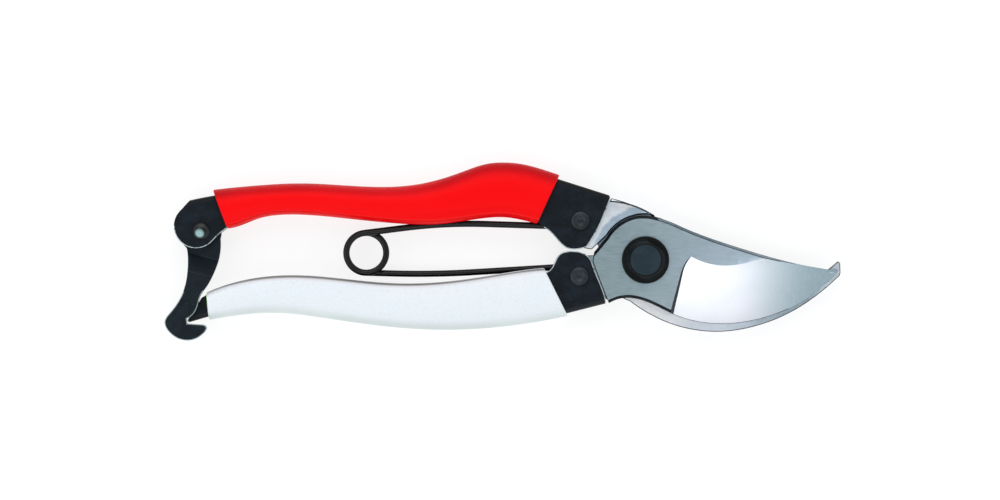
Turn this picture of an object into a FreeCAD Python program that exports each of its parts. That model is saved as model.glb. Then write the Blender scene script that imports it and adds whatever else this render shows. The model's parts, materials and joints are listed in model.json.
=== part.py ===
import FreeCAD, Part
import math
import os

# Bypass pruner, 200 mm long, lying flat. Millimetres.
# The origin is on the pivot axis in the plane that the tool rests on.
# +X runs to the blade tips, +Y to the upper (red) handle, +Z away from the resting plane.

V = FreeCAD.Vector
Z_AXIS = V(0, 0, 1)

# Levels across the thickness
MID_Z = 6.4            # middle plane of the handles
GRIP_THICK = 12.8      # vinyl sleeve, resting plane to its front
CHANNEL_WIDTH = 7.6    # folded steel handle, outside of its walls
WALL = 1.2             # sheet thickness of the folded handles
BLADE_THICK = 3.15     # each blade at its boss
BLADE_GAP = 0.1        # running gap between the blades
STEP_RADIUS = 13.7     # the half-lap step of each neck, about the pivot
WEB_CLEAR = 0.1        # tang to the inside of the fold
NECK_CLEAR = 0.5       # the same where the upper neck leaves the fold

CHANNEL_LOW = MID_Z - CHANNEL_WIDTH / 2
CHANNEL_HIGH = MID_Z + CHANNEL_WIDTH / 2
GAP_LOW = CHANNEL_LOW + WALL
GAP_HIGH = CHANNEL_HIGH - WALL
COUNTER_TOP = MID_Z - BLADE_GAP / 2
COUNTER_LOW = COUNTER_TOP - BLADE_THICK
CUTTING_LOW = MID_Z + BLADE_GAP / 2
CUTTING_TOP = CUTTING_LOW + BLADE_THICK

# Pivot
SHANK_RADIUS = 4.0
SHANK_CLEAR = 0.05
BOLT_HEAD_RADIUS = 7.0
BOLT_DISC_RADIUS = 4.9
BOLT_FLANGE = 1.3
BOLT_RISE = 2.0
BOLT_FLATS = 5.1       # half the distance across the spanner flats
BOLT_TURN = -34        # direction of the flats, degrees
WASHER_THICK = 0.5
WASHER_RADIUS = 7.4
NUT_RADIUS = 7.2       # to the hexagon's corners

# Spring
WIRE = 1.9
COIL_CENTRE = V(-82.7, 2.1, 0)
COIL_RADIUS = 5.9      # to the wire's centre line
COIL_PITCH = 2.03
UPPER_ANCHOR = V(-26.5, 10.0, 0)
LOWER_ANCHOR = V(-25.3, -2.1, 0)
UPPER_LEAVES = 96.4    # coil angle where the upper leg leaves it, degrees
LOWER_LEAVES = 268.5 + 360
COIL_SLIT = 13.0       # the two halves of the coil stand this far apart, degrees
TIP_BEND = 1.2         # radius of the bend at the end of each leg
KNEE_RUN = 12.0        # each leg bends slightly over this length either side of its knee
JOINT_BEAD = 0.02
UPPER_ANCHOR_CLEAR = 0.1
LOWER_ANCHOR_CLEAR = 0.4

# Catch
CATCH_CENTRE = V(-131.5, 8.5, 0)
CATCH_THICK = 2.0
CATCH_CLEAR = 0.05
CATCH_PIN = 2.0
CATCH_FRONT_LOW = CHANNEL_HIGH + 0.3
CATCH_BACK_LOW = MID_Z - CATCH_THICK / 2
JOG_TOP_Y = 0.2        # the jog toward the front starts here
JOG_LOW_Y = -5.0       # and ends here
JOG_TURN = -14         # its bend lines run this much across the plate, degrees
JOG_ROUND = 1.2        # radius of its bends

# Rivets: centre, head radius
UPPER_RIVET = V(-19.3, 11.6, 0)
LOWER_RIVET = V(-19.6, -4.8, 0)
UPPER_TAIL_RIVET = V(-50.0, 19.5, 0)
LOWER_TAIL_RIVET = V(-50.0, -13.5, 0)
RIVET_PIN = 2.1
RIVET_HEAD = 2.9
RIVET_RISE = 0.9

# Fillets
UPPER_GRIP_ROUND = 4.4
LOWER_GRIP_ROUND = 3.3
FOLD_ROUND = 1.6
BOSS_CHAMFER = 0.75    # round the cutting blade's boss and along its spine

# Outlines. Each stretch starts where the last one ended:
# one more point is a straight edge, several more are a smooth curve.
UPPER_GRIP_OUTLINE = [
    [(-128.1, 20.8), (-116.2, 22.0), (-101.0, 22.7), (-75.0, 21.7), (-65.9, 22.7), (-54.6, 26.0),
     (-46.4, 28.6), (-41.9, 28.9), (-36.4, 28.4), (-31.9, 27.3), (-25.4, 25.2)],
    [(-32.1, 10.6)],
    [(-35.1, 11.4), (-41.0, 12.5), (-50.0, 12.0), (-61.3, 10.5), (-72.0, 10.6), (-89.7, 12.3),
     (-99.5, 13.2), (-107.9, 13.3), (-114.3, 12.3), (-120.6, 9.9), (-123.8, 9.2)],
    [(-128.1, 20.8)],
]
LOWER_GRIP_OUTLINE = [
    [(-130.0, -9.6), (-123.1, -7.0), (-114.3, -5.1), (-99.5, -4.6), (-79.9, -6.5),
     (-65.9, -6.8), (-52.3, -5.5), (-41.0, -3.7), (-30.1, -2.3)],
    [(-23.0, -16.6)],
    [(-29.6, -17.9), (-45.5, -20.1), (-61.3, -20.7), (-75.0, -19.9), (-94.6, -17.3),
     (-109.3, -15.7), (-120.0, -16.3), (-129.2, -17.8)],
    [(-130.0, -9.6)],
]
UPPER_FOLD = [(-134.9, 17.7), (-116.2, 20.6), (-101.0, 21.4), (-75.0, 20.4), (-58.0, 23.4),
              (-43.0, 27.4), (-31.9, 25.8), (-25.6, 23.9)]
UPPER_FOLD_FRONT = (-10.5, 19.1)
UPPER_LOBE_START = (-128.5, 5.3)
UPPER_LOBE_MIDDLE = (-139.6, 10.0)
UPPER_LOBE_END = (-137.3, 15.0)
UPPER_CHANNEL_INSIDE = [
    [(-10.4, 18.1)],
    [(-13.1, 11.3)],
    [(-14.2, 9.1), (-17.3, 4.0)],
    [(-19.9, 3.2), (-23.2, 3.5), (-26.1, 6.0), (-30.1, 9.6)],
    [(-33.5, 12.0), (-41.0, 13.7), (-50.0, 13.2), (-68.1, 11.7), (-89.7, 13.5), (-103.0, 14.5),
     (-114.3, 13.6), (-122.5, 10.3), UPPER_LOBE_START],
]
LOWER_FOLD = [(-128.0, -16.5), (-120.0, -14.9), (-109.3, -14.4), (-94.6, -16.0), (-75.0, -18.6),
              (-61.3, -19.4), (-45.5, -18.8), (-29.6, -16.9), (-22.7, -15.7)]
LOWER_FOLD_FRONT = (-11.7, -12.9)
LOWER_EAR = [(-135.2, -18.6), (-135.6, -17.9), (-131.4, -11.2), (-127.5, -8.9)]
LOWER_CHANNEL_INSIDE = [
    [(-123.1, -8.3), (-114.3, -6.4), (-99.5, -5.9), (-79.9, -7.8), (-65.9, -8.1), (-52.3, -6.8),
     (-41.0, -5.0), (-31.0, -3.7)],
    [(-28.2, -2.9), (-27.0, -1.0), (-25.4, 1.7), (-22.5, 2.6), (-19.1, 2.3), (-17.1, 1.2), (-15.9, -0.5)],
    [(-14.2, -5.1), (-12.6, -9.0), (-11.7, -12.2)],
]
CUTTING_OUTLINE = [
    [(-11.5, 6.7), (-7.6, 10.9), (-2.5, 13.0), (3.7, 12.5), (8.6, 10.8)],
    [(14.0, 8.4), (27.8, 3.6), (40.5, -0.1), (57.2, -3.2)],
    [(51.7, -8.8), (43.8, -13.8), (32.5, -17.8), (20.9, -18.9), (7.2, -15.6)],
    [(3.4, -13.7), (-3.1, -11.4), (-10.8, -12.8)],
    [(-12.3, -9.0), (-15.5, -0.5)],
    [(-15.2, 2.3)],
    [(-11.5, 6.7)],
]
CUTTING_TANG_INSIDE = [(-15.4, 1.4), (-23.4, 1.2), (-23.4, -4.2), (-31.0, -5.3), (-45.0, -8.0),
                       (-60.0, -10.5), (-60.0, -17.8)]
COUNTER_OUTLINE = [
    [(-10.1, 18.3), (-1.6, 15.4), (3.1, 12.8)],
    [(9.2, 9.4), (12.8, 3.0), (13.6, -3.6), (18.0, -9.4), (28.0, -12.4), (40.0, -10.0), (50.0, -5.0),
     (54.7, -2.5)],
    [(57.2, -0.4)],
    [(57.8, -0.9)],
    [(57.9, -3.9)],
    [(57.6, -4.7)],
    [(52.8, -9.0), (43.0, -15.6), (33.2, -19.5), (21.0, -21.3), (8.6, -19.3), (-1.2, -14.6),
     (-4.6, -12.2)],
    [(-9.6, -9.0), (-12.9, -2.4), (-13.1, 2.2)],
    [(-15.0, 6.6)],
    [(-12.7, 11.3)],
    [(-10.1, 18.3)],
]
COUNTER_TANG_INSIDE = [(-15.9, 3.1), (-23.9, 4.6), (-23.9, 12.1), (-34.0, 13.5), (-45.0, 14.4),
                       (-61.0, 13.4), (-61.0, 21.3)]
BEVEL_LINE = [(-2.0, 4.6), (6.0, 3.2), (13.3, 0.9), (20.9, -1.5), (28.3, -1.2), (35.6, 0.6),
              (46.0, -0.7), (60.0, -1.4)]
CUTTING_EDGE = [(-4.0, -13.6), (4.0, -15.6), (14.0, -18.3), (24.0, -19.0), (32.5, -17.9),
                (41.5, -15.1), (50.0, -10.4), (60.0, -4.4)]
BEVEL_RUNOUT = [(5.6, -24.0), (7.6, -15.1), (8.9, -10.2), (10.1, -5.8), (11.6, -1.4), (13.3, 0.9),
                (17.0, 4.4)]
RUNOUT_LEAN = 17       # slope of the run-out wall at the left end of the bevel, degrees
CATCH_OUTLINE = [
    [(-135.9, 3.5), (-135.4, -1.5), (-136.6, -9.0), (-140.3, -15.2), (-142.2, -18.2),
     (-140.3, -21.9), (-135.9, -23.8), (-131.1, -22.1), (-129.8, -19.9), (-130.8, -19.1)],
    [(-135.5, -18.8)],
    [(-135.7, -17.4)],
    [(-132.5, -13.6), (-131.6, -10.6), (-129.6, -7.6), (-127.6, -3.6), (-126.1, 1.5), (-125.9, 6.2)],
]


# ---- helpers -------------------------------------------------------------------------------------

def point(pair, z=0.0):
    return V(pair[0], pair[1], z)


def curve(points):
    """A straight edge through two points, or a smooth one through more."""
    if len(points) == 2:
        return Part.makeLine(points[0], points[1])
    spline = Part.BSplineCurve()
    spline.interpolate(points)
    return spline.toShape()


def edges_of(stretches):
    """Edges of an outline, each stretch starting where the last one ended."""
    edges = []
    last = None
    for stretch in stretches:
        points = [point(pair) for pair in stretch]
        if last is not None:
            points.insert(0, last)
        edges.append(curve(points))
        last = points[-1]
    return edges


def slab(edges, low, high):
    """The region inside closed edges, from z = low to z = high."""
    face = Part.Face(Part.Wire(edges))
    face.translate(V(0, 0, low))
    return face.extrude(V(0, 0, high - low))


def closed(edges):
    """The edges and a straight one that closes them."""
    ends = Part.Wire(edges).OrderedVertexes
    return edges + [Part.makeLine(ends[-1].Point, ends[0].Point)]


def disc(centre, radius, low, high):
    return Part.makeCylinder(radius, high - low, V(centre.x, centre.y, low))


def polar(radius, degrees):
    return V(radius * math.cos(math.radians(degrees)), radius * math.sin(math.radians(degrees)), 0)


def rounded(solid, radius, chosen):
    """The solid with its chosen edges filleted."""
    edges = [edge for edge in solid.Edges if chosen(edge)]
    return solid.makeFillet(radius, edges)


def export(name, shape):
    """One solid (or a group of alike solids) to its own file."""
    shape = shape.removeSplitter()
    if len(shape.Solids) == 1:
        shape = shape.Solids[0]
    if not shape.isValid():
        raise ValueError(name + " is not valid")
    shape.exportStep("parts/" + name + ".step")
    print(name, len(shape.Solids), round(shape.Volume, 1))


# ---- handles -------------------------------------------------------------------------------------

def shifted_down(points, amount):
    return [(x, y - amount) for x, y in points]


def channel(outline, pocket, side, bores):
    """A folded handle: its outline less the pocket between the walls, with its bores."""
    solid = slab(outline, CHANNEL_LOW, CHANNEL_HIGH)
    solid = rounded(solid, FOLD_ROUND, lambda edge: along_fold(edge, side))
    solid = solid.cut(slab(pocket, GAP_LOW, GAP_HIGH))
    for centre, radius in bores:
        solid = solid.cut(disc(centre, radius, CHANNEL_LOW - 1, CHANNEL_HIGH + 1))
    return solid


def upper_channel_edges():
    edges = edges_of([UPPER_FOLD, [UPPER_FOLD_FRONT]] + UPPER_CHANNEL_INSIDE)
    lobe = Part.Arc(point(UPPER_LOBE_START), point(UPPER_LOBE_MIDDLE), point(UPPER_LOBE_END))
    return edges + [lobe.toShape(), Part.makeLine(point(UPPER_LOBE_END), point(UPPER_FOLD[0]))]


def lower_channel_edges():
    ear = [[LOWER_EAR[0], LOWER_EAR[1]]] + [[spot] for spot in LOWER_EAR[2:]]
    edges = edges_of(ear + LOWER_CHANNEL_INSIDE + [[LOWER_FOLD_FRONT], [LOWER_FOLD[-1]]])
    fold = edges_of([LOWER_FOLD])
    return edges + fold + [Part.makeLine(point(LOWER_FOLD[0]), point(LOWER_EAR[0]))]


def upper_pocket():
    """Between the walls: under the fold, open along the inside of the handle."""
    top = shifted_down(UPPER_FOLD, WALL)
    front = (UPPER_FOLD_FRONT[0] + 3, UPPER_FOLD_FRONT[1] - WALL - 1.0)
    return closed(edges_of([top, [front], [(0, -5)], [(-150, -5)], [(-150, top[0][1])]]))


def lower_pocket():
    """Between the walls: above the fold, and the whole gap between the ears."""
    bottom = shifted_down(LOWER_FOLD, -WALL)
    front = (LOWER_FOLD_FRONT[0] + 3, LOWER_FOLD_FRONT[1] + WALL + 0.8)
    return closed(edges_of([bottom, [front], [(0, 10)], [(-150, 10)], [(-150, -30)], [(-128.0, -30)]]))


def along_fold(edge, sign):
    """True for the two long outer edges of a fold: sign is +1 for the upper handle."""
    box = edge.BoundBox
    flat = box.ZLength < 0.01
    outside = box.ZMin < CHANNEL_LOW + 0.01 or box.ZMax > CHANNEL_HIGH - 0.01
    middle = edge.valueAt((edge.FirstParameter + edge.LastParameter) / 2)
    far = middle.y > 19 if sign > 0 else middle.y < -14 and middle.x > -128
    return flat and outside and far and box.XLength > 8


def upper_handle_channel():
    bores = [(UPPER_RIVET, RIVET_PIN), (UPPER_TAIL_RIVET, RIVET_PIN), (CATCH_CENTRE, CATCH_PIN)]
    solid = channel(upper_channel_edges(), upper_pocket(), 1, bores)
    return solid.cut(disc(UPPER_ANCHOR, WIRE / 2 + UPPER_ANCHOR_CLEAR, CHANNEL_LOW - 1, GAP_LOW + 1))


def lower_handle_channel():
    bores = [(LOWER_RIVET, RIVET_PIN), (LOWER_TAIL_RIVET, RIVET_PIN)]
    solid = channel(lower_channel_edges(), lower_pocket(), -1, bores)
    return solid.cut(disc(LOWER_ANCHOR, WIRE / 2 + LOWER_ANCHOR_CLEAR, CHANNEL_LOW - 1, GAP_LOW + 1))


def grip_sleeve(outline, channel_edges, radius, inward):
    """A vinyl sleeve: rounded outside, filled by the handle, with a groove along the inside."""
    block = slab(edges_of(outline), 0, GRIP_THICK)
    solid = rounded(block, radius, lambda edge: edge.BoundBox.ZLength < 0.01 and edge.BoundBox.XLength > 60)
    solid = solid.cut(slab(channel_edges, CHANNEL_LOW, CHANNEL_HIGH))
    groove = slab(channel_edges, GAP_LOW, GAP_HIGH)
    groove.translate(V(0, inward, 0))
    return max(solid.cut(groove).Solids, key=lambda piece: piece.Volume)


# ---- blades --------------------------------------------------------------------------------------

def above_bevel():
    """The space over the bevel: a hollow face from the bevel line to the cutting edge."""
    rows = []
    for across in range(6):
        share = (across - 0.5) / 4
        row = []
        for start, end in zip(BEVEL_LINE, CUTTING_EDGE):
            x = start[0] + (end[0] - start[0]) * share
            y = start[1] + (end[1] - start[1]) * share
            hollow = 0.25 * math.sin(math.pi * share)
            z = CUTTING_TOP + (CUTTING_LOW + 0.25 - CUTTING_TOP) * share - hollow
            row.append(V(x, y, z))
        rows.append(row)
    surface = Part.BSplineSurface()
    surface.interpolate(rows)
    return surface.toShape().extrude(V(0, 0, 8))


def runout_side():
    """Everything on the tip's side of the leaning wall where the bevel runs out beside the boss."""
    corners = [(70, BEVEL_RUNOUT[-1][1]), (70, BEVEL_RUNOUT[0][1]), BEVEL_RUNOUT[0]]
    outline = Part.Wire(edges_of([BEVEL_RUNOUT] + [[corner] for corner in corners]))
    sections = []
    for height in (CUTTING_LOW - 3, CUTTING_TOP + 8):
        lean = (CUTTING_TOP - height) * math.tan(math.radians(RUNOUT_LEAN))
        section = outline.copy()
        section.translate(V(lean, 0, height))
        sections.append(section)
    return Part.makeLoft(sections, True, True)


def cutting_tang():
    """The neck beyond the step and the tang between the lower handle's walls."""
    start = polar(STEP_RADIUS, 172)
    end = polar(STEP_RADIUS, 228)
    arc = Part.Arc(end, polar(STEP_RADIUS, 200), start).toShape()
    fold = shifted_down(LOWER_FOLD[5:], -WALL - WEB_CLEAR)
    inside = [start] + [point(pair) for pair in CUTTING_TANG_INSIDE]
    edges = [Part.makeLine(a, b) for a, b in zip(inside, inside[1:])]
    bottom = [point(pair) for pair in fold if pair[0] > -59]
    edges.append(curve([inside[-1]] + bottom))
    edges.append(Part.makeLine(bottom[-1], V(-11.9, -11.4, 0)))
    edges.append(Part.makeLine(V(-11.9, -11.4, 0), V(-10.8, -12.0, 0)))
    edges.append(Part.makeLine(V(-10.8, -12.0, 0), end))
    return slab(edges + [arc], GAP_LOW, GAP_HIGH)


def on_top(edge, top):
    return edge.BoundBox.ZMin > top - 0.01 and edge.BoundBox.ZLength < 0.01


def in_list(edge, edges):
    return any(edge.isSame(other) for other in edges)


def cutting_blade():
    plate = slab(edges_of(CUTTING_OUTLINE), CUTTING_LOW, CUTTING_TOP)
    waste = plate.common(runout_side()).common(above_bevel())
    top = [edge for edge in plate.Edges if on_top(edge, CUTTING_TOP)]
    ground = [edge for edge in top if edge.BoundBox.XMin > 5 and edge.BoundBox.YMin < -15]
    meets_handle = [edge for edge in top if edge.BoundBox.XMax < -10 and edge.BoundBox.YMin < 0]
    dull = [edge for edge in top if not (in_list(edge, ground) or in_list(edge, meets_handle))]
    plate = plate.makeChamfer(BOSS_CHAMFER, dull)
    plate = plate.cut(waste)
    solid = plate.fuse(cutting_tang())
    solid = solid.cut(disc(V(0, 0, 0), SHANK_RADIUS + SHANK_CLEAR, 0, 20))
    for rivet in (LOWER_RIVET, LOWER_TAIL_RIVET):
        solid = solid.cut(disc(rivet, RIVET_PIN, 0, 20))
    return solid


def counter_tang():
    """The neck beyond the step and the tang between the upper handle's walls."""
    start = polar(STEP_RADIUS, 148)
    end = polar(STEP_RADIUS, 83)
    arc = Part.Arc(end, polar(STEP_RADIUS, 115), start).toShape()
    inside = [start] + [point(pair) for pair in COUNTER_TANG_INSIDE]
    edges = [Part.makeLine(a, b) for a, b in zip(inside, inside[1:])]
    fold = shifted_down(UPPER_FOLD, WALL + WEB_CLEAR)
    top = [point(pair) for pair in fold if pair[0] > -59]
    front = V(UPPER_FOLD_FRONT[0], UPPER_FOLD_FRONT[1] - WALL - NECK_CLEAR, 0)
    edges.append(curve([inside[-1]] + top))
    edges.append(Part.makeLine(top[-1], front))
    edges.append(curve([front, V(-1.6, 15.3, 0), end]))
    return slab(edges + [arc], GAP_LOW, GAP_HIGH)


def counter_blade():
    plate = slab(edges_of(COUNTER_OUTLINE), COUNTER_LOW, COUNTER_TOP)
    solid = plate.fuse(counter_tang())
    solid = solid.cut(disc(V(0, 0, 0), SHANK_RADIUS, 0, 20))
    for rivet in (UPPER_RIVET, UPPER_TAIL_RIVET):
        solid = solid.cut(disc(rivet, RIVET_PIN, 0, 20))
    return solid


# ---- pivot ---------------------------------------------------------------------------------------

def pivot_bolt():
    """Head with two spanner flats, and the shank down through both blades, washer and nut."""
    head_low = CUTTING_TOP + SHANK_CLEAR
    flange_top = head_low + BOLT_FLANGE
    rim = BOLT_HEAD_RADIUS
    head = disc(V(0, 0, 0), rim, head_low, flange_top)
    head = rounded(head, 0.4, lambda edge: edge.BoundBox.ZMin > flange_top - 0.01)
    cone = Part.makeCone(rim - 0.9, BOLT_DISC_RADIUS, BOLT_RISE, V(0, 0, flange_top))
    flats = Part.makeBox(30, 2 * BOLT_FLATS, 10, V(-15, -BOLT_FLATS, flange_top - 1))
    flats.rotate(V(0, 0, 0), Z_AXIS, BOLT_TURN)
    shank = disc(V(0, 0, 0), SHANK_RADIUS, 0.3, head_low + 0.2)
    return head.fuse(cone.common(flats)).fuse(shank)


def pivot_washer():
    low = COUNTER_LOW - WASHER_THICK
    ring = disc(V(0, 0, 0), WASHER_RADIUS, low, COUNTER_LOW)
    return ring.cut(disc(V(0, 0, 0), SHANK_RADIUS, 0, 20))


def pivot_lock_nut():
    corners = [polar(NUT_RADIUS, 60 * turn + 15) for turn in range(6)]
    edges = [Part.makeLine(corners[turn - 1], corners[turn]) for turn in range(6)]
    nut = slab(edges, 0, COUNTER_LOW - WASHER_THICK)
    return nut.cut(disc(V(0, 0, 0), SHANK_RADIUS, -1, 20))


# ---- rivets --------------------------------------------------------------------------------------

def rivet(centre, head_radius, pin_radius, rise):
    """A pin through the handle with a low domed head on each side."""
    solid = disc(centre, pin_radius, CHANNEL_LOW, CHANNEL_HIGH)
    for low in (CHANNEL_LOW - rise, CHANNEL_HIGH):
        head = disc(centre, head_radius, low, low + rise)
        outer_z = CHANNEL_HIGH + rise if low == CHANNEL_HIGH else low
        head = rounded(head, rise * 0.6, lambda edge: abs(edge.BoundBox.ZMin - outer_z) < 0.01
                       and edge.BoundBox.ZLength < 0.01)
        solid = solid.fuse(head)
    return solid


def flush_rivet(centre):
    """A rivet ground flush with the walls, under the sleeve."""
    return disc(centre, RIVET_PIN, CHANNEL_LOW, CHANNEL_HIGH)


# ---- spring --------------------------------------------------------------------------------------

def coil_height(degrees):
    """The wire falls by one pitch a turn, halfway between its two ends at the middle plane."""
    middle = (UPPER_LEAVES + LOWER_LEAVES) / 2
    return MID_Z - COIL_PITCH * (degrees - middle) / 360


def coil_point(degrees):
    spot = COIL_CENTRE + polar(COIL_RADIUS, degrees)
    return V(spot.x, spot.y, coil_height(degrees))


def wire_along(edges):
    """Round wire along edges that follow one another."""
    path = Part.Wire(edges)
    start = edges[0]
    first = start.valueAt(start.FirstParameter)
    circle = Part.Wire(Part.makeCircle(WIRE / 2, first, start.tangentAt(start.FirstParameter)))
    return path.makePipeShell([circle], True, False, 2)


def coil_stretch(begin, finish):
    """Wire along the coil between two angles."""
    turns = (finish - begin) / 360
    helix = Part.makeHelix(COIL_PITCH, COIL_PITCH * turns, COIL_RADIUS, 0, True)
    helix.rotate(V(0, 0, 0), V(1, 0, 0), 180)
    helix.rotate(V(0, 0, 0), Z_AXIS, begin)
    helix.translate(V(COIL_CENTRE.x, COIL_CENTRE.y, coil_height(begin)))
    return wire_along(helix.Edges)


def bent_leg(start, knee, tip, knee_run):
    """A leg from the coil over a slight knee to its tip, which is bent down into the rear wall."""
    before = knee + (start - knee).normalize() * knee_run
    after = knee + (tip - knee).normalize() * knee_run
    away = (tip - knee).normalize()
    bend_start = tip - away * TIP_BEND
    bend_middle = tip - away * TIP_BEND + away * TIP_BEND * math.sin(math.pi / 4)
    bend_middle.z -= TIP_BEND * (1 - math.cos(math.pi / 4))
    bend_end = V(tip.x, tip.y, tip.z - TIP_BEND)
    # the arc over the knee is tangent to both runs
    half = (before + after) * 0.5
    turn = (knee - before).getAngle(after - knee)
    rise = knee_run * math.tan(turn / 4)
    crown = half + (knee - half).normalize() * (knee.sub(half).Length - rise)
    edges = [Part.makeLine(start, before)]
    edges.append(Part.Arc(before, crown, after).toShape())
    edges.append(Part.makeLine(after, bend_start))
    edges.append(Part.Arc(bend_start, bend_middle, bend_end).toShape())
    edges.append(Part.makeLine(bend_end, V(tip.x, tip.y, CHANNEL_LOW + 0.1)))
    return wire_along(edges)


def joined(coil, start, leg):
    """Half of the coil and its leg as one wire, with a hair-thin bead where they meet."""
    bead = Part.makeSphere(WIRE / 2 + JOINT_BEAD, start)
    return coil.fuse(bead).fuse(leg)


def spring_upper():
    start = coil_point(UPPER_LEAVES)
    knee = V(-59.3, 11.0, start.z)
    tip = V(UPPER_ANCHOR.x, UPPER_ANCHOR.y, start.z)
    middle = (UPPER_LEAVES + LOWER_LEAVES) / 2
    coil = coil_stretch(UPPER_LEAVES, middle - COIL_SLIT / 2)
    return joined(coil, start, bent_leg(start, knee, tip, KNEE_RUN))


def spring_lower():
    start = coil_point(LOWER_LEAVES)
    knee = V(-63.0, -4.35, start.z)
    tip = V(LOWER_ANCHOR.x, LOWER_ANCHOR.y, start.z)
    middle = (UPPER_LEAVES + LOWER_LEAVES) / 2
    coil = coil_stretch(middle + COIL_SLIT / 2, LOWER_LEAVES)
    return joined(coil, start, bent_leg(start, knee, tip, KNEE_RUN))


# ---- catch ---------------------------------------------------------------------------------------

def catch_side():
    """The catch plate seen from its edge: level, a jog toward the front, and level again."""
    low = CATCH_BACK_LOW
    high = CATCH_FRONT_LOW
    corners = [(30, low), (JOG_TOP_Y, low), (JOG_LOW_Y, high), (-40, high), (-40, high + CATCH_THICK),
               (JOG_LOW_Y + 0.8, high + CATCH_THICK), (JOG_TOP_Y + 0.8, low + CATCH_THICK),
               (30, low + CATCH_THICK)]
    points = [V(-170, y, z) for y, z in corners]
    edges = [Part.makeLine(points[n - 1], points[n]) for n in range(len(points))]
    strip = Part.Face(Part.Wire(edges)).extrude(V(70, 0, 0))
    strip = rounded(strip, JOG_ROUND, lambda edge: edge.BoundBox.XLength > 60 and -10 < edge.BoundBox.YMin < 5)
    strip.rotate(V(CATCH_CENTRE.x, JOG_LOW_Y, 0), Z_AXIS, JOG_TURN)
    return strip


def catch_plate():
    crown = Part.Arc(point((-125.9, 6.2)), V(-130.9, 14.2, 0), point((-135.9, 3.5))).toShape()
    solid = slab(edges_of(CATCH_OUTLINE) + [crown], 0, 20).common(catch_side())
    return solid.cut(disc(CATCH_CENTRE, CATCH_PIN + CATCH_CLEAR, 0, 20))


def catch_washer(low, high):
    ring = disc(CATCH_CENTRE, 4.2, low, high)
    return ring.cut(disc(CATCH_CENTRE, CATCH_PIN, low - 1, high + 1))


# ---- everything ----------------------------------------------------------------------------------

os.makedirs("parts", exist_ok=True)
catch_top = CATCH_BACK_LOW + CATCH_THICK
export("cutting_blade", cutting_blade())
export("counter_blade", counter_blade())
export("upper_handle_channel", upper_handle_channel())
export("lower_handle_channel", lower_handle_channel())
export("upper_grip_sleeve", grip_sleeve(UPPER_GRIP_OUTLINE, upper_channel_edges(), UPPER_GRIP_ROUND, -3.0))
export("lower_grip_sleeve", grip_sleeve(LOWER_GRIP_OUTLINE, lower_channel_edges(), LOWER_GRIP_ROUND, 3.0))
export("pivot_bolt", pivot_bolt())
export("pivot_washer", pivot_washer())
export("pivot_lock_nut", pivot_lock_nut())
export("upper_tang_rivet", rivet(UPPER_RIVET, RIVET_HEAD, RIVET_PIN, RIVET_RISE))
export("lower_tang_rivet", rivet(LOWER_RIVET, RIVET_HEAD, RIVET_PIN, RIVET_RISE))
export("upper_tail_rivet", flush_rivet(UPPER_TAIL_RIVET))
export("lower_tail_rivet", flush_rivet(LOWER_TAIL_RIVET))
export("spring_upper", spring_upper())
export("spring_lower", spring_lower())
export("catch_plate", catch_plate())
export("catch_rivet", rivet(CATCH_CENTRE, 2.6, CATCH_PIN, 1.0))
export("catch_spacer", catch_washer(GAP_LOW, CATCH_BACK_LOW - CATCH_CLEAR))
export("catch_wave_washer", catch_washer(catch_top + CATCH_CLEAR, GAP_HIGH))
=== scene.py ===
import json
import math

import bmesh
import bpy
import numpy as np
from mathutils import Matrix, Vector


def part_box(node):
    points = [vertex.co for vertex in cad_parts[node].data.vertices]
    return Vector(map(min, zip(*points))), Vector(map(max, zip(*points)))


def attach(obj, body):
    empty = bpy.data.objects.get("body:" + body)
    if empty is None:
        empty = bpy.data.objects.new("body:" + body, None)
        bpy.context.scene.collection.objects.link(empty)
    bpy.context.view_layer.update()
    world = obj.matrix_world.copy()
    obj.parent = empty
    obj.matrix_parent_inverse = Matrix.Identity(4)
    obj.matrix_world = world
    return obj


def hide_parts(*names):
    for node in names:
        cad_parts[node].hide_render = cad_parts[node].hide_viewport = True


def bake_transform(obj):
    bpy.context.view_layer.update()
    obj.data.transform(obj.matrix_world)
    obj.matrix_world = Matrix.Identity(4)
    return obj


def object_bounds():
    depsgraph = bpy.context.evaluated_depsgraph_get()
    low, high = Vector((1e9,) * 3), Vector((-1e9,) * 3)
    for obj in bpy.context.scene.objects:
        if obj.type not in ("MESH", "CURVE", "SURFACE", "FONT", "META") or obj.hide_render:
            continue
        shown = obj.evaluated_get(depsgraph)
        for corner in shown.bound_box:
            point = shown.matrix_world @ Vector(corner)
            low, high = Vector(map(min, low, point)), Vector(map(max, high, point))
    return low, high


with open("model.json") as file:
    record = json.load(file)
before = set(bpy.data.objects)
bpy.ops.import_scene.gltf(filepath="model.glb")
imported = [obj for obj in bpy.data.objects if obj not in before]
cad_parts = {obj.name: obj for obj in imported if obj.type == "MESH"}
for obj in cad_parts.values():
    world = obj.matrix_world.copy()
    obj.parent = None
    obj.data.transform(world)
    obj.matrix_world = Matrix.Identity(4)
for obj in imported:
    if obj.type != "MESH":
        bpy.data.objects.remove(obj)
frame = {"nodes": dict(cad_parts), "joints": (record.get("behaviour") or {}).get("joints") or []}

cad_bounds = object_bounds()
MM = 0.001                 # one millimetre in metres
JOINTS = {joint["name"]: joint for joint in frame["joints"]}

# The view: what the camera sees from straight above, and where its middle lies beside the object's
CAMERA_HEIGHT = 2.0
VIEW_WIDTH = 0.296         # at the level of the blades' front faces
VIEW_SHIFT = Vector((-0.9 * MM, 0.4 * MM, 0))
SENSOR = 36.0

# Light: the pale dome's strength low down and overhead, and the heights (0 to 1) where it changes
DOME_SIDE = 0.95
DOME_TOP = 0.40
DOME_CHANGE = (0.72, 0.97)
FLOOR_GLOW = 0.79

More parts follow.
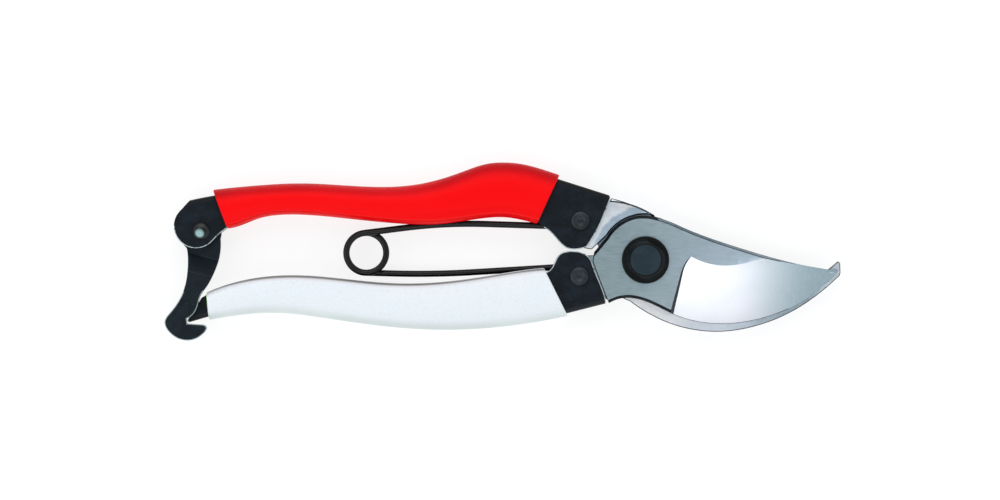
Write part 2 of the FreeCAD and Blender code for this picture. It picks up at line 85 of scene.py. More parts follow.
# Sleeves, millimetres
SLEEVE_STATIONS = 96
SLEEVE_CREST = 0.46        # where the section is thickest, as a share of its width from the inner lip
LIP_SQUARENESS = 3.2       # exponent of the section on the inner side
BACK_SQUARENESS = 2.4      # and on the outer side
LIP_BEAD = 0.16            # height of the bead along the lip
RIM_ROUND = 0.35           # rounding of the cut ends
GROOVE_HALF = 2.6          # half the groove's width
CHANNEL_HALF = 3.8         # half the folded handle's width
THINNEST = 0.8             # the sleeve's thinnest wall over the folded handle

# Edges and faces of the metal pieces
EASED = 0.25               # rounding of cut edges, millimetres
BLADE_EASED = 0.12
HARD_EDGE = 28             # edges sharper than this are rounded, degrees
SLIVER = 0.02              # a face smaller than this, in square millimetres, looks like the one beside it
FLAT = 0.9985              # upward part of a normal that still counts as the blade's flat face
RUNOUT_X = 5.5             # the bevel lies on the tip's side of this, millimetres
POINT_X = 44               # where the blade narrows to its point
FACE, BEVEL, DARK, SPINE = range(4)

# Spring, millimetres and degrees
WIRE_RADIUS = 0.95
COIL_RADIUS = 5.9
COIL_PITCH = 2.03
UPPER_LEAVES = 96.4
LOWER_LEAVES = 268.5 + 360
UPPER_KNEE = Vector((-59.3, 11.0, 0))
LOWER_KNEE = Vector((-63.0, -4.35, 0))
LOWER_ANCHOR = Vector((-25.3, -2.1, 0))
KNEE_RUN = 12.0
TIP_BEND = 1.2


# ---- materials: helpers --------------------------------------------------------------------------

def tone(red, green, blue):
    """A colour given as it looks, 0 to 255, as the shader's own numbers."""
    shares = [value / 255 for value in (red, green, blue)]
    return tuple(s / 12.92 if s <= 0.04045 else ((s + 0.055) / 1.055) ** 2.4 for s in shares) + (1.0,)


class Finish:
    """One material: a shader, and short calls that add nodes in front of it."""

    def __init__(self, name, **values):
        self.material = bpy.data.materials.new(name)
        self.material.use_nodes = True
        self.tree = self.material.node_tree
        self.shader = self.tree.nodes["Principled BSDF"]
        for socket, value in values.items():
            self.shader.inputs[socket.replace("_", " ")].default_value = value

    def add(self, kind, inputs, output=0, **settings):
        node = self.tree.nodes.new("ShaderNode" + kind)
        for key, value in settings.items():
            setattr(node, key, value)
        for key, value in inputs.items():
            self.put(node.inputs[key], value)
        return node.outputs[output]

    def put(self, socket, value):
        if isinstance(value, bpy.types.NodeSocket):
            self.tree.links.new(value, socket)
        else:
            socket.default_value = value

    def place(self):
        return self.add("TexCoord", {}, "Object")

    def noise(self, scale, detail=4.0, rough=0.55, twist=0.0):
        """Noise whose scale along each axis is in cells per metre."""
        spread = self.add("Mapping", {"Vector": self.place(), "Scale": scale})
        inputs = {"Vector": spread, "Scale": 1.0, "Detail": detail, "Roughness": rough, "Distortion": twist}
        return self.add("TexNoise", inputs)

    def spread(self, value, low, high, to_low=0.0, to_high=1.0):
        inputs = {"Value": value, "From Min": low, "From Max": high, "To Min": to_low, "To Max": to_high}
        return self.add("MapRange", inputs, interpolation_type="SMOOTHSTEP")

    def sums(self, operation, first, second):
        return self.add("Math", {0: first, 1: second}, operation=operation)

    def axis(self, name):
        return self.add("SeparateXYZ", {0: self.place()}, name)

    def mix(self, share, first, second, blend="MIX"):
        inputs = {0: share, 6: first, 7: second}
        return self.add("Mix", inputs, 2, data_type="RGBA", blend_type=blend)

    def around_pivot(self):
        """Distance from the pivot's axis, in metres."""
        flat = self.add("VectorMath", {0: self.place(), 1: (1, 1, 0)}, operation="MULTIPLY")
        return self.add("VectorMath", {0: flat}, "Value", operation="LENGTH")

    def facing(self, direction):
        """How far the surface faces a direction of the object's own frame, from -1 to 1."""
        normal = self.add("NewGeometry", {}, "Normal")
        own = self.add("VectorTransform", {0: normal}, vector_type="NORMAL",
                       convert_from="WORLD", convert_to="OBJECT")
        unit = self.add("VectorMath", {0: own}, operation="NORMALIZE")
        return self.add("VectorMath", {0: unit, 1: direction}, "Value", operation="DOT_PRODUCT")

    def bump(self, height, depth, strength=1.0, below=None):
        inputs = {"Height": height, "Distance": depth, "Strength": strength}
        if below is not None:
            inputs["Normal"] = below
        return self.add("Bump", inputs)

    def finish(self, colour=None, rough=None, normal=None):
        for name, value in (("Base Color", colour), ("Roughness", rough), ("Normal", normal)):
            if value is not None:
                self.put(self.shader.inputs[name], value)
        return self.material


# ---- materials -----------------------------------------------------------------------------------

def steel(name, painted_shade_end, light, rough):
    """Ground steel: brush lines along the blade, painted light that grows from its darker to its lighter tone
    along x, and faint smudges.
    """
    f = Finish(name, Metallic=1.0)
    lines = f.noise((420, 5600, 900), detail=5, rough=0.6)
    cross = f.noise((700, 160, 700), detail=4)
    cloud = f.noise((45, 45, 45), detail=3)
    # painted light: the steel's tone ramps from the darker end to the lighter end along x
    painted_light_ramp = f.mix(f.spread(f.axis("X"), -0.014, 0.045), painted_shade_end, light)
    worn = f.mix(f.spread(lines, 0.35, 0.68, 0.0, 0.24), painted_light_ramp, f.mix(0.5, painted_light_ramp, tone(236, 242, 246)))
    dark = f.mix(f.spread(lines, 0.48, 0.28, 0.0, 0.26), worn, f.mix(0.6, painted_light_ramp, tone(84, 98, 104)))
    colour = f.mix(f.spread(cloud, 0.42, 0.7, 0.0, 0.18), dark, tone(206, 216, 224))
    ridge = f.sums("ADD", lines, f.sums("MULTIPLY", cross, 0.25))
    dullness = f.spread(lines, 0.3, 0.7, rough - 0.04, rough + 0.08)
    return f.finish(colour, dullness, f.bump(ridge, 0.00002, 0.3))


def jaw_steel(name):
    """The jaw: painted light, bright at the heel and darker along the hook, and a painted bluish shade along
    an arc round the pivot.
    """
    f = Finish(name, Metallic=1.0)
    grain = f.noise((1500, 1900, 900), detail=5, rough=0.6)
    cloud = f.noise((240, 300, 240), detail=3)
    x = f.axis("X")
    # painted light along the hook strip: near white at the heel, darker toward x = 43 mm, lighter at the tip,
    # lighter on the neck
    strip = f.mix(f.spread(x, -0.001, 0.022), tone(252, 253, 255), tone(226, 236, 248))
    strip = f.mix(f.spread(x, 0.022, 0.043), strip, tone(160, 180, 190))
    strip = f.mix(f.spread(x, 0.047, 0.056), strip, tone(230, 242, 252))
    painted_light_ramp = f.mix(f.spread(x, -0.005, -0.009), strip, tone(240, 246, 253))
    # painted shade: a bluish band along an arc round the pivot, on the neck's side
    from_pivot = f.sums("ADD", f.around_pivot(), f.sums("MULTIPLY", cloud, 0.0022))
    painted_arc_shade = f.sums("MULTIPLY", f.spread(from_pivot, 0.0176, 0.0164), f.spread(f.axis("Y"), 0.0, 0.006))
    painted_light_ramp = f.mix(painted_arc_shade, painted_light_ramp, tone(180, 202, 220))
    colour = f.mix(f.spread(grain, 0.38, 0.66, 0.0, 0.22), painted_light_ramp, tone(236, 242, 247))
    colour = f.mix(f.spread(grain, 0.44, 0.28, 0.0, 0.25), colour, tone(120, 136, 146))
    return f.finish(colour, f.spread(cloud, 0.3, 0.7, 0.3, 0.38), f.bump(grain, 0.00001, 0.35))


def bevel_leans():
    """How the hollow-ground bevel leans along x and y, each as a level and its growth per metre."""
    mesh = frame["nodes"]["cutting_blade"].data
    ground = [face for face in mesh.polygons if 0.9 < face.normal.z < 0.998 and face.center.x > 8 * MM]
    weights = np.array([face.area ** 0.5 for face in ground])[:, None]
    spots = np.array([(1, face.center.x, face.center.y) for face in ground])
    leans = np.array([(face.normal.x / face.normal.z, face.normal.y / face.normal.z) for face in ground])
    return np.linalg.lstsq(spots * weights, leans * weights, rcond=None)[0].T.tolist()


def polished(name, leans):
    """The hollow-ground bevel: one even curve, a fine polish, a faint grain across it, and painted light that
    darkens toward the point.
    """
    f = Finish(name, Metallic=1.0)
    parts = []
    for level, along_x, along_y in leans:
        growth = f.add("VectorMath", {0: f.place(), 1: (along_x, along_y, 0)}, "Value",
                       operation="DOT_PRODUCT")
        parts.append(f.sums("ADD", growth, level))
    lean = f.add("CombineXYZ", {0: parts[0], 1: parts[1], 2: 1.0})
    hollow = f.add("VectorTransform", {0: lean}, vector_type="NORMAL",
                   convert_from="OBJECT", convert_to="WORLD")
    even = f.add("VectorMath", {0: hollow}, operation="NORMALIZE")
    grain = f.noise((2600, 500, 900), detail=5, rough=0.65)
    cloud = f.noise((120, 160, 120), detail=3)
    # painted light: near white at the heel, darkening toward the point
    along = f.spread(f.axis("X"), 0.022, 0.050)
    painted_light_ramp = f.mix(along, tone(224, 226, 233), tone(152, 174, 182))
    colour = f.mix(f.spread(grain, 0.35, 0.7, 0.0, 0.2), painted_light_ramp, tone(206, 216, 226))
    rough = f.spread(cloud, 0.3, 0.7, 0.3, 0.33)
    return f.finish(colour, rough, f.bump(grain, 0.000006, 0.15, even))


def blackened(name, base, sheen, rough, pits=2200, specular=0.16, edges=None, disc=None, fold=None,
              crown_highlight=None):
    """Blackened steel with fine pits. edges is steel worn through on the rounded edges, which also
    paints a highlight along them, disc (radius, tone) a painted shade outside that radius from the
    pivot, fold (side, tone) a painted shade or highlight, as its tone is darker or lighter, where the
    sheet turns to that side, and crown a painted highlight on a dome's top."""
    f = Finish(name, Metallic=0.0, Specular_IOR_Level=specular)
    pit = f.noise((pits, pits, pits), detail=6, rough=0.7)
    patch = f.noise((210, 260, 210), detail=4)
    fleck = f.noise((1500, 1500, 1500), detail=2, rough=0.8)
    colour = f.mix(f.spread(patch, 0.38, 0.66), base, sheen)
    colour = f.mix(f.spread(fleck, 0.67, 0.76, 0.0, 0.45), colour, tone(80, 96, 104))
    if edges is not None:
        # steel worn through on the rounded edges, also painting the highlight along them
        wear_and_highlight = f.noise((900, 900, 900), detail=4, rough=0.7)
        colour = f.mix(f.spread(wear_and_highlight, 0.30, 0.5), colour, edges)
    # painted highlight on the dome's top
    if crown_highlight is not None:
        colour = f.mix(f.spread(f.facing((-0.1, -0.14, 0.985)), 0.955, 0.995), colour, crown_highlight)
    if disc is not None:
        # painted shade outside the radius
        radius, rim = disc
        colour = f.mix(f.spread(f.around_pivot(), radius - 0.0001, radius + 0.0001), colour, rim)
    if fold is not None:
        # painted light where the sheet turns to that side
        side, fold_light_tone = fold
        colour = f.mix(f.spread(f.facing((0, side, 0)), 0.1, 0.35), colour, fold_light_tone)
    return f.finish(colour, f.spread(pit, 0.3, 0.7, rough - 0.07, rough + 0.12), f.bump(pit, 0.00005, 0.6))


def vinyl(name, base, shade_and_speckle, light, lip, rim, outer, turn, rough, grain, speckle, specular):
    """Dipped vinyl: painted shade toward its outer side, a painted line along its inner edge, rim on its rear
    end.
    outer is the outer side's direction along Y, and turn is where the painted shade begins."""
    f = Finish(name, Metallic=0.0, Specular_IOR_Level=specular)
    skin = f.noise((grain, grain, grain), detail=5, rough=0.6)
    wave = f.noise((40, 70, 70), detail=2)
    dust = f.noise((1500, 1500, 1500), detail=4, rough=0.75)
    out = f.facing((0, outer, 0))
    # painted shade: darker as the surface turns toward the outer side
    colour = f.mix(f.spread(out, turn, turn + 0.55), base, shade_and_speckle)
    colour = f.mix(f.spread(wave, 0.42, 0.7, 0.0, 0.3), colour, light)
    # random dust speckles, in the painted shade's tone
    colour = f.mix(f.spread(dust, 0.50, 0.72, 0.0, speckle), colour, shade_and_speckle)
    # painted line along the inner lip: a painted highlight on the red sleeve, a painted shade on the white
    lip_light_tone, begins, ends = lip
    colour = f.mix(f.sums("MULTIPLY", f.spread(out, begins, begins - 0.12), f.spread(out, ends, ends + 0.1)),
                   colour, lip_light_tone)
    colour = f.mix(f.spread(f.facing((-1, 0, 0)), 0.45, 0.8), colour, rim)
    bumps = f.bump(wave, 0.0004, 0.25, f.bump(skin, 0.00005, 0.5))
    return f.finish(colour, f.spread(skin, 0.3, 0.7, rough - 0.05, rough + 0.08), bumps)


def pale_floor():
    f = Finish("floor_paper", Metallic=0.0, Specular_IOR_Level=0.1, Emission_Strength=FLOOR_GLOW,
               Emission_Color=(1, 1, 1, 1))
    fibre = f.noise((300, 300, 300), detail=4)
    colour = f.mix(f.spread(fibre, 0.3, 0.7), tone(136, 137, 138), tone(140, 140, 140))
    return f.finish(colour, f.spread(fibre, 0.3, 0.7, 0.85, 0.95))


# ---- shapes: helpers -----------------------------------------------------------------------------

def new_piece(name, body, replaced, materials):
    """An empty mesh object that rides its body in place of CAD nodes."""
    mesh = bpy.data.meshes.new(name)
    piece = bpy.data.objects.new(name, mesh)
    bpy.context.scene.collection.objects.link(piece)
    for material in materials:
        mesh.materials.append(material)
    if body is not None:
        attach(piece, body)
    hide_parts(*replaced)
    return piece


def even_normals(piece):
    """Flat faces stay flat and the small roundings between them shade smoothly."""
    for face in piece.data.polygons:
        face.use_smooth = True
    modifier = piece.modifiers.new("even_normals", "WEIGHTED_NORMAL")
    modifier.weight = 100
    modifier.keep_sharp = True


def refined(name, body, node, materials, choose, width, until=1000):
    """The CAD node's own shape with its sharp edges left of x = until eased by width, and a material
    for each face."""
    piece = new_piece(name, body, [node], materials)
    bm = bmesh.new()
    bm.from_mesh(frame["nodes"][node].data)
    bmesh.ops.remove_doubles(bm, verts=bm.verts, dist=0.002 * MM)
    bmesh.ops.dissolve_limit(bm, angle_limit=math.radians(0.02), verts=bm.verts, edges=bm.edges)
    hard = [edge for edge in bm.edges
            if len(edge.link_faces) == 2 and edge.calc_face_angle() > math.radians(HARD_EDGE)
            and max(end.co.x for end in edge.verts) < until * MM]
    eased = bmesh.ops.bevel(bm, geom=hard, offset=width * MM, offset_type="OFFSET", segments=2,
                            profile=0.5, affect="EDGES", clamp_overlap=False)
    rounding = set(eased["faces"])
    bm.normal_update()
    slivers = []
    for face in bm.faces:
        face.material_index = choose(face.normal, face.calc_center_median() / MM, face in rounding)
        if face.calc_area() < SLIVER * MM * MM and face not in rounding:
            slivers.append(face)
    for face in slivers:
        beside = [other for edge in face.edges for other in edge.link_faces]
        face.material_index = max(beside, key=lambda other: other.calc_area()).material_index
    bm.to_mesh(piece.data)
    bm.free()
    even_normals(piece)
    return piece


def turned(name, body, replaced, materials, centre, profile, steps=72):
    """A piece turned about the vertical through centre: profile is (radius, height) pairs, upward."""
    piece = new_piece(name, body, replaced, materials)
    bm = bmesh.new()
    rings = []
    for radius, height in profile:
        count = 1 if radius == 0 else steps
        ring = []
        for step in range(count):
            turn = 2 * math.pi * step / steps
            x = centre.x + radius * MM * math.cos(turn)
            y = centre.y + radius * MM * math.sin(turn)
            ring.append(bm.verts.new((x, y, height * MM)))
        rings.append(ring)
    for lower, upper in zip(rings, rings[1:]):
        for step in range(steps):
            after = (step + 1) % steps
            corners = [lower[step % len(lower)], lower[after % len(lower)],
                       upper[after % len(upper)], upper[step % len(upper)]]
            unique = list(dict.fromkeys(corners))
            bm.faces.new(unique)
    bmesh.ops.recalc_face_normals(bm, faces=bm.faces)
    bm.to_mesh(piece.data)
    bm.free()
    even_normals(piece)
    return piece


def add_loft(bm, rings):
    """Quads between closed rings of equally many points."""
    made = [[bm.verts.new(spot) for spot in ring] for ring in rings]
    for one, two in zip(made, made[1:]):
        for n in range(len(one)):
            bm.faces.new((one[n - 1], one[n], two[n], two[n - 1]))
    return made


# ---- sleeves -------------------------------------------------------------------------------------

def points_of(node):
    return np.array([vertex.co for vertex in frame["nodes"][node].data.vertices])


def silhouette(node):
    """A function of x: the lowest and highest y where the plane at x cuts the CAD node."""
    points = points_of(node)
    ends = np.array([edge.vertices[:] for edge in frame["nodes"][node].data.edges])
    first, second = points[ends[:, 0]], points[ends[:, 1]]

    def at(x):
        cut = (first[:, 0] - x) * (second[:, 0] - x) <= 0
        run = second[cut, 0] - first[cut, 0]
        share = np.divide(x - first[cut, 0], run, out=np.zeros_like(run), where=abs(run) > 1e-9)
        y = first[cut, 1] + (second[cut, 1] - first[cut, 1]) * share
        return y.min(), y.max()

    return at


def corner(points, along, across):
    """The corner of an outline seen farthest along one diagonal."""
    return points[np.argmax(points[:, 0] * 0.5 * along + points[:, 1] * 0.85 * across)]


def superellipse(share, power):
    """Height, 0 to 1, of the section where it is share of the way from its crest to its side."""
    return (1 - min(1.0, share) ** power) ** (1 / power)


def half_section(width, thick):
    """(distance from the inner lip, height above the middle) of the front half of a sleeve's section."""
    half = thick / 2
    crest = SLEEVE_CREST * width
    points = [(0.7, GROOVE_HALF), (0.22, GROOVE_HALF + 0.06), (0.06, GROOVE_HALF + 0.32)]
    for step in range(17):
        out = math.sin(math.pi / 2 * (1 - step / 17)) ** 0.8
        height = half * superellipse(out, LIP_SQUARENESS)
        across = crest * (1 - out)
        if height > GROOVE_HALF + 0.4:
            bead = LIP_BEAD * math.exp(-((across - 1.3) / 0.5) ** 2)
            hollow = LIP_BEAD * math.exp(-((across - 2.7) / 0.8) ** 2)
            points.append((across, height + bead - hollow))
    for step in range(19):
        out = math.sin(math.pi / 2 * step / 18)
        points.append((crest + (width - crest) * out, half * superellipse(out, BACK_SQUARENESS)))
    return points


def stations(length):
    """Distances along a sleeve where its section is taken, close together at the rounded ends."""
    ends = [0.0, RIM_ROUND * 0.3, RIM_ROUND]
    inside = list(np.linspace(RIM_ROUND * 2.5, length - RIM_ROUND * 2.5, SLEEVE_STATIONS))
    return ends + inside + [length - end for end in reversed(ends)]


def rim_inset(from_end):
    """How far the skin draws in toward the handle this near a cut end."""
    if from_end >= RIM_ROUND:
        return 0.0
    return RIM_ROUND - math.sqrt(RIM_ROUND ** 2 - (RIM_ROUND - from_end) ** 2)


def section_ring(start, across, half, handle, inset):
    """One closed ring of a sleeve: out over its skin and back over the handle, from lip to fold."""
    wall, fold = handle
    loop = half + [(out, -height) for out, height in reversed(half[:-1])]
    skin = []
    core = []
    for out, height in loop:
        nearest = (min(max(out, wall), fold), min(max(height, -CHANNEL_HALF), CHANNEL_HALF))
        gap = math.hypot(nearest[0] - out, nearest[1] - height)
        pull = min(1.0, inset / gap) if gap > 0.01 else 0.0
        out += (nearest[0] - out) * pull
        height += (nearest[1] - height) * pull
        skin.append(start + across * out * MM + Vector((0, 0, height * MM)))
        core.append(start + across * nearest[0] * MM + Vector((0, 0, nearest[1] * MM)))
    return skin + core[::-1]


def sleeve_rings(node, channel, inner_side):
    """Sections of a sleeve from its rear end to its front end, between the CAD sleeve's long edges."""
    low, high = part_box(node)
    thick = (high.z - low.z) / MM
    middle = (high.z + low.z) / 2
    points = points_of(node)
    side, handle = silhouette(node), silhouette(channel)
    inner, outer = (0, 1) if inner_side < 0 else (1, 0)
    rear = [corner(points, -1, inner_side), corner(points, -1, -inner_side)]
    front = [corner(points, 1, inner_side), corner(points, 1, -inner_side)]
    length = np.linalg.norm(front[0] - rear[0]) / MM
    rings = []
    for travelled in stations(length):
        share = travelled / length
        x_in = rear[0][0] + (front[0][0] - rear[0][0]) * share
        x_out = rear[1][0] + (front[1][0] - rear[1][0]) * share
        start = Vector((x_in, side(x_in)[inner], middle))
        stop = Vector((x_out, side(x_out)[outer], middle))
        width = (stop - start).length / MM
        across = (stop - start).normalized()
        wall = max(THINNEST, abs(handle(x_in)[inner] - start.y) / MM / abs(across.y))
        fold = width - max(THINNEST, abs(handle(x_out)[outer] - stop.y) / MM / abs(across.y))
        inset = rim_inset(min(travelled, length - travelled))
        rings.append(section_ring(start, across, half_section(width, thick), (wall, fold), inset))
    return rings


def sleeve(name, body, node, channel, material, inner_side):
    """A vinyl sleeve lofted along the CAD sleeve; inner_side is -1 where its lip is below, +1 above."""
    piece = new_piece(name, body, [node], [material])
    bm = bmesh.new()
    made = add_loft(bm, sleeve_rings(node, channel, inner_side))
    for ring in (made[0], made[-1]):
        for n in range(len(ring) // 2 - 1):
            bm.faces.new((ring[n], ring[n + 1], ring[-n - 2], ring[-n - 1]))
    bmesh.ops.recalc_face_normals(bm, faces=bm.faces)
    bm.to_mesh(piece.data)
    bm.free()
    even_normals(piece)
    piece.data.set_sharp_from_angle(angle=math.radians(50))
    return piece


# ---- spring --------------------------------------------------------------------------------------

def arc_points(start, knee, end, run, count):
    """Points of the arc that leaves the line to the knee and joins the line from it."""
    before = knee + (start - knee).normalized() * run
    after = knee + (end - knee).normalized() * run
    points = []
    for step in range(count + 1):
        share = step / count
        points.append(before * (1 - share) ** 2 + knee * 2 * share * (1 - share) + after * share ** 2)
    return points


def leg_points(start, knee, tip):
    """From the coil over the knee to the tip, which bends back into the rear wall."""
    knee = Vector((knee.x, knee.y, start.z))
    top = Vector((tip.x, tip.y, start.z))
    foot = Vector((tip.x, tip.y, 2.7))
    points = arc_points(start, knee, top, KNEE_RUN, 10)
    return points + arc_points(knee, top, foot, TIP_BEND, 6) + [foot]


def tube_rings(points, radius, sides):
    """Circles of points square to the path, without twist."""
    rings = []
    across = Vector((0, 1, 0))
    for n, spot in enumerate(points):
        along = (points[min(n + 1, len(points) - 1)] - points[max(n - 1, 0)]).normalized()
        across = (across - along * across.dot(along)).normalized()
        other = along.cross(across)
        ring = []
        for step in range(sides):
            turn = 2 * math.pi * step / sides
            ring.append((spot + (across * math.cos(turn) + other * math.sin(turn)) * radius) * MM)
        rings.append(ring)
    return rings


def spring(material):
    """The whole spring as one wire: upper leg, one and a half turns, lower leg."""
    piece = new_piece("spring_wire", None, ["spring_upper", "spring_lower"], [material])
    centre = Vector(JOINTS["spring_coil"]["pos_m"]) / MM
    upper_anchor = Vector(JOINTS["spring_anchor"]["pos_m"]) / MM
    middle_z = Vector(JOINTS["pivot"]["pos_m"]).z / MM
    halfway = (UPPER_LEAVES + LOWER_LEAVES) / 2
    coil = []
    for step in range(129):
        degrees = UPPER_LEAVES + (LOWER_LEAVES - UPPER_LEAVES) * step / 128
        turn = math.radians(degrees)
        height = middle_z - COIL_PITCH * (degrees - halfway) / 360
        coil.append(Vector((centre.x + COIL_RADIUS * math.cos(turn),
                            centre.y + COIL_RADIUS * math.sin(turn), height)))
    upper = leg_points(coil[0], UPPER_KNEE, upper_anchor)
    lower = leg_points(coil[-1], LOWER_KNEE, LOWER_ANCHOR)
    bm = bmesh.new()
    made = add_loft(bm, tube_rings(upper[::-1] + coil + lower, WIRE_RADIUS, 24))
    for ring in (made[0], made[-1]):
        bm.faces.new(ring)
    bmesh.ops.recalc_face_normals(bm, faces=bm.faces)
    bm.to_mesh(piece.data)
    bm.free()
    even_normals(piece)
    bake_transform(piece)
    return piece


# ---- the pieces ----------------------------------------------------------------------------------

def blades():
    face = steel("blade_face", tone(150, 172, 178), tone(196, 214, 230), 0.34)
    bevel = polished("blade_bevel", bevel_leans())
    # painted shade: the blade's cut sides and edge roundings are near black, drawing a dark outline
    dark = blackened("blade_edge", tone(4, 10, 14), tone(18, 28, 34), 0.4)
    # painted shade: the spine's chamfer is a darker copy of the ground steel
    spine = steel("blade_spine", tone(84, 100, 110), tone(100, 116, 126), 0.4)
    jaw = jaw_steel("jaw_face")
    # painted shade: the jaw's cut sides are near black, drawing a dark outline
    jaw_edge = blackened("jaw_edge", tone(24, 33, 38), tone(60, 72, 78), 0.35)

    def cutting(normal, centre, eased):
        if normal.z > FLAT:
            return FACE
        if centre.x > RUNOUT_X and normal.z > (0.9 if centre.x < POINT_X else 0.3) and not eased:
            return BEVEL
        return SPINE if centre.x > 4 and normal.y > 0 and normal.z > 0.3 and not eased else DARK

    def counter(normal, centre, eased):
        return 0 if abs(normal.z) > 0.97 else 1

    refined("cutting_blade_ground", "lower_half", "cutting_blade",
            [face, bevel, dark, spine], cutting, BLADE_EASED, until=POINT_X)
    refined("counter_blade_ground", "upper_half", "counter_blade", [jaw, jaw_edge],
            counter, EASED)


def handles():
    # painted light at the folds: a painted shade on the upper handle's fold, a painted highlight on the
    # lower's
    fold_lights = {"upper": (1, tone(4, 8, 11)), "lower": (-1, tone(28, 34, 38))}
    for side, body in (("upper", "upper_half"), ("lower", "lower_half")):
        black = blackened(side + "_black", tone(9, 18, 25), tone(18, 28, 37), 0.38, fold=fold_lights[side])
        # steel worn through on the rounded cut edges where they show, also painting the highlight along them
        bare_and_highlit = blackened(side + "_cut_edge", tone(9, 18, 25), tone(22, 32, 40), 0.35,
                         edges=tone(190, 202, 204))

        def choose(normal, centre, eased):
            seen = centre.x > -30 or (centre.x < -118 and normal.y < 0)
            return 1 if eased and normal.z > 0.05 and seen else 0

        refined(side + "_handle_folded", body, side + "_handle_channel",
                [black, bare_and_highlit], choose, EASED)


def grips():
    # red: painted shade on its outer side, painted highlight along its lip; white: painted shade on its outer
    # side and along its lip
    red = vinyl("red_vinyl", base=tone(248, 4, 10), shade_and_speckle=tone(188, 1, 14), light=tone(250, 16, 24),
                lip=(tone(252, 38, 36), -0.42, -0.72), rim=tone(150, 2, 10), outer=1, turn=0.2,
                rough=0.42, grain=900, speckle=0.08, specular=0.08)
    white = vinyl("white_vinyl", base=tone(233, 239, 244), shade_and_speckle=tone(208, 217, 215),
                  light=tone(238, 243, 244), lip=(tone(120, 126, 122), -0.82, -1.4),
                  rim=tone(196, 232, 160), outer=-1, turn=0.42, rough=0.5, grain=2600, speckle=0.5,
                  specular=0.25)
    sleeve("red_sleeve", "upper_half", "upper_grip_sleeve", "upper_handle_channel", red, -1)
    sleeve("white_sleeve", "lower_half", "lower_grip_sleeve", "lower_handle_channel", white, 1)


def rivet_profile(head, pin, low, high, rise):
    """A tang rivet from its back to its front: a raised ring round a dished middle, both ends alike."""
    dish = [(0, -0.5), (head * 0.26, -0.5), (head * 0.40, -0.34), (head * 0.52, -0.08), (head * 0.62, 0.0),
            (head * 0.74, -0.06), (head * 0.88, -0.28), (head * 0.97, -0.55), (head, -rise)]
    front = [(radius, high + rise + drop) for radius, drop in dish]
    back = [(radius, low - rise - drop) for radius, drop in dish]
    return back + [(pin, low), (pin, high)] + front[::-1]


def dome_profile(head, pin, low, high, rise):
    """A rivet with a round domed head at each end; the catch rivet's top gets a painted highlight."""
    front = [(head * math.sin(math.radians(a)), high + rise * math.cos(math.radians(a)))
             for a in range(0, 91, 10)]
    back = [(radius, low - (height - high)) for radius, height in front]
    return back + [(pin, low), (pin, high)] + front[::-1]


def node_centre(node):
    low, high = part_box(node)
    return (low + high) / 2


def fasteners():
    # the bolt's flat top is a lit copy of its blackened steel; the ring round it, its sides and the nut are a
    # near-black copy: painted shade
    bolt = blackened("bolt_black", tone(32, 46, 54), tone(40, 54, 62), 0.42, disc=(0.0045, tone(2, 5, 7)))
    bolt_side = blackened("bolt_side", tone(2, 5, 7), tone(8, 13, 16), 0.3)
    rivet = blackened("rivet_black", tone(9, 18, 24), tone(26, 38, 46), 0.28, specular=0.35)
    # painted highlight: the catch rivet's top is coloured bright
    painted_highlight_rivet = blackened("catch_rivet_black", tone(8, 12, 12), tone(20, 27, 28), 0.2, specular=0.4,
                      crown_highlight=tone(150, 186, 186))
    washer = steel("washer_steel", tone(170, 176, 178), tone(190, 194, 196), 0.4)

    def bolt_faces(normal, centre, eased):
        return 0 if normal.z > 0.95 and math.hypot(centre.x, centre.y) < 4.9 and not eased else 1

    def all_one(normal, centre, eased):
        return 0

    refined("pivot_bolt_head", "upper_half", "pivot_bolt", [bolt, bolt_side], bolt_faces, 0.15)
    refined("pivot_nut", "upper_half", "pivot_lock_nut", [bolt_side], all_one, EASED)
    refined("pivot_thin_washer", "upper_half", "pivot_washer", [washer], all_one, 0.1)
    low, high = (height / MM for height in (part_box("upper_handle_channel")[0].z,
                                            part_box("upper_handle_channel")[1].z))
    for side, body in (("upper", "upper_half"), ("lower", "lower_half")):
        node = side + "_tang_rivet"
        half = (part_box(node)[1].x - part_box(node)[0].x) / 2 / MM
        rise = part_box(node)[1].z / MM - high
        turned(side + "_dished_rivet", body, [node], [rivet], node_centre(node),
               rivet_profile(half, half * 0.72, low, high, rise))
    half = (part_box("catch_rivet")[1].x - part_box("catch_rivet")[0].x) / 2 / MM
    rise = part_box("catch_rivet")[1].z / MM - high
    turned("catch_domed_rivet", "upper_half", ["catch_rivet"], [painted_highlight_rivet],
           node_centre("catch_rivet"), dome_profile(half, half * 0.77, low, high, rise))
    for node in ("upper_tail_rivet", "lower_tail_rivet", "catch_spacer", "catch_wave_washer"):
        frame["nodes"][node].data.materials.clear()
        frame["nodes"][node].data.materials.append(washer)


def catch():
    black = blackened("catch_black", tone(13, 23, 30), tone(20, 32, 38), 0.4)
    # steel worn through on the hook's rounded bottom edge, also painting the highlight along it
    bare_and_highlit = blackened("catch_edge", tone(12, 20, 25), tone(20, 30, 35), 0.34, edges=tone(150, 164, 164))

    def choose(normal, centre, eased):
        return 1 if eased and normal.z > 0.2 and centre.y < -9 else 0

    refined("catch_hook", "catch", "catch_plate", [black, bare_and_highlit], choose, EASED)


# ---- floor, lights, camera -----------------------------------------------------------------------

def floor():
    bm = bmesh.new()
    bmesh.ops.create_grid(bm, x_segments=8, y_segments=8, size=4.0)
    mesh = bpy.data.meshes.new("floor")
    bm.to_mesh(mesh)
    bm.free()
    mesh.materials.append(pale_floor())
    sheet = bpy.data.objects.new("floor", mesh)
    bpy.context.scene.collection.objects.link(sheet)


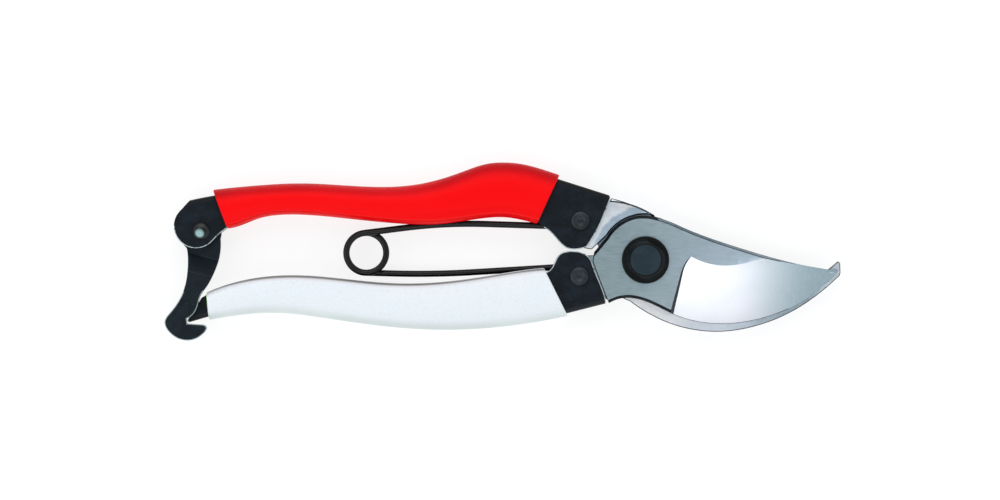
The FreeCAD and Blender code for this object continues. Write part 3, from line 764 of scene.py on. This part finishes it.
def soft_light(name, azimuth, elevation, distance, size, watts, colour=(1, 1, 1)):
    """A square soft light that faces the tool. Azimuth 0 is along +X, 90 along +Y."""
    turn, lift = math.radians(azimuth), math.radians(elevation)
    way = Vector((math.cos(turn) * math.cos(lift), math.sin(turn) * math.cos(lift), math.sin(lift)))
    data = bpy.data.lights.new(name, "AREA")
    data.size = size
    data.energy = watts
    data.color = colour
    lamp = bpy.data.objects.new(name, data)
    lamp.location = way * distance
    lamp.rotation_euler = (-way).to_track_quat("-Z", "Y").to_euler()
    lamp.visible_camera = False
    bpy.context.scene.collection.objects.link(lamp)


def studio():
    """A pale dome, darker overhead, and three large soft lights."""
    world = bpy.data.worlds.new("studio")
    world.use_nodes = True
    nodes, links = world.node_tree.nodes, world.node_tree.links
    way = nodes.new("ShaderNodeTexCoord")
    split = nodes.new("ShaderNodeSeparateXYZ")
    height = nodes.new("ShaderNodeMapRange")
    height.interpolation_type = "SMOOTHSTEP"
    levels = {"From Min": DOME_CHANGE[0], "From Max": DOME_CHANGE[1], "To Min": DOME_SIDE, "To Max": DOME_TOP}
    for name, value in levels.items():
        height.inputs[name].default_value = value
    links.new(way.outputs["Generated"], split.inputs[0])
    links.new(split.outputs["Z"], height.inputs["Value"])
    links.new(height.outputs[0], nodes["Background"].inputs["Strength"])
    nodes["Background"].inputs["Color"].default_value = (0.95, 0.975, 1.0, 1.0)
    bpy.context.scene.world = world
    soft_light("bevel_light", 262, 70, 1.3, 0.5, 1.3)
    soft_light("upper_light", 100, 50, 1.4, 1.0, 3.8)
    soft_light("left_light", 200, 45, 1.4, 0.8, 2.0)


def camera():
    middle = (cad_bounds[0] + cad_bounds[1]) / 2 + VIEW_SHIFT
    data = bpy.data.cameras.new("camera")
    data.sensor_width = SENSOR
    data.lens = SENSOR * (CAMERA_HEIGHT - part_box("cutting_blade")[1].z) / VIEW_WIDTH
    data.clip_end = 20
    eye = bpy.data.objects.new("camera", data)
    eye.location = (middle.x, middle.y, CAMERA_HEIGHT)
    bpy.context.scene.collection.objects.link(eye)
    bpy.context.scene.camera = eye
    bpy.context.scene.view_settings.view_transform = "Standard"


camera()
studio()
floor()
blades()
handles()
grips()
fasteners()
catch()
spring(blackened("spring_black", tone(3, 4, 6), tone(12, 13, 15), 0.24, pits=3000, specular=0.3))
